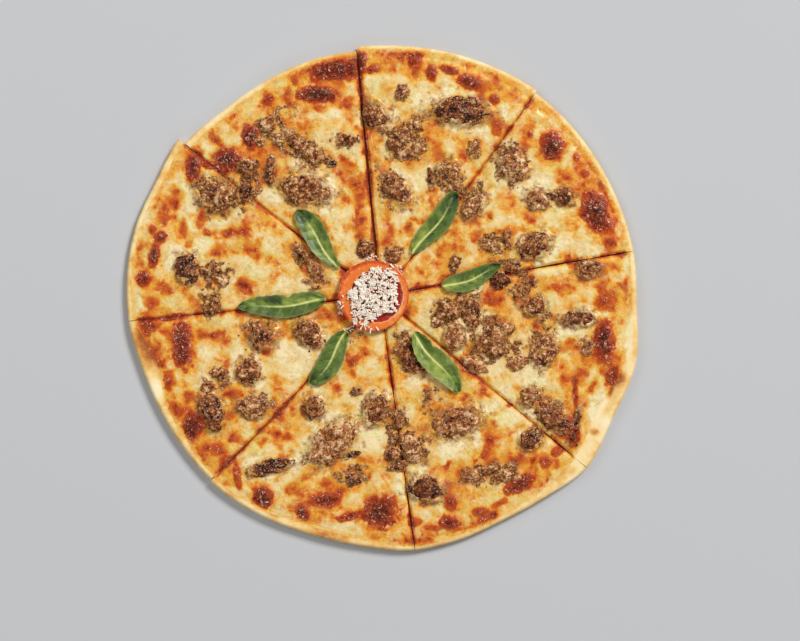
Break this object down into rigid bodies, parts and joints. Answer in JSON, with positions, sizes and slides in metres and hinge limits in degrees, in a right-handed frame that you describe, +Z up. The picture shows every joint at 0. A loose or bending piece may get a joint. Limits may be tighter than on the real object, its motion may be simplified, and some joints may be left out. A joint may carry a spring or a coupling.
{
  "type": "meat pizza",
  "caption": "Round thin-crust pizza cut into slices that lie together, with browned melted cheese, chunks of meat, mint leaves and grated cheese on a slice of tomato.",
  "frame": {"origin": "centre of the pizza's box in plan, on the flat underside it rests on", "axes": "+Z up through the pizza; +X to the right and +Y to the top as seen from above, with the slices' shared point near the origin"},
  "size_m": [0.3042, 0.3004, 0.0145],
  "materials": {
    "dough": "baked thin dough, pale and floury at the rim, with toasted patches, matt",
    "cheese": "melted cheese over tomato sauce, cream to yellow with orange and dark red browned blisters, oily sheen",
    "meat": "roasted brown meat, coarse fibres, moist highlights",
    "mint": "fresh green leaf, veined, slight waxy sheen",
    "tomato": "wet tomato flesh, orange-red rim and darker red core",
    "grated_cheese": "dry grated white cheese, matt"
  },
  "bodies": {
    "root": {"cheese_01": "cheese", "cheese_02": "cheese", "cheese_03": "cheese", "cheese_04": "cheese", "cheese_05": "cheese", "cheese_06": "cheese", "cheese_07": "cheese", "cheese_08": "cheese", "dough_01": "dough", "dough_02": "dough", "dough_03": "dough", "dough_04": "dough", "dough_05": "dough", "dough_06": "dough", "dough_07": "dough", "dough_08": "dough", "grated_cheese": "grated_cheese", "meat_01": "meat", "meat_02": "meat", "meat_03": "meat", "meat_04": "meat", "meat_05": "meat", "meat_06": "meat", "meat_07": "meat", "meat_08": "meat", "meat_09": "meat", "meat_10": "meat", "meat_11": "meat", "meat_12": "meat", "meat_13": "meat", "meat_14": "meat", "meat_15": "meat", "meat_16": "meat", "meat_17": "meat", "meat_18": "meat", "meat_19": "meat", "meat_20": "meat", "meat_21": "meat", "meat_22": "meat", "meat_23": "meat", "meat_24": "meat", "meat_25": "meat", "meat_26": "meat", "meat_27": "meat", "meat_28": "meat", "meat_29": "meat", "meat_30": "meat", "meat_31": "meat", "meat_32": "meat", "meat_33": "meat", "meat_34": "meat", "meat_35": "meat", "meat_36": "meat", "mint_01": "mint", "mint_02": "mint", "mint_03": "mint", "mint_04": "mint", "mint_05": "mint", "mint_06": "mint", "tomato": "tomato"}
  },
  "joints": []
}
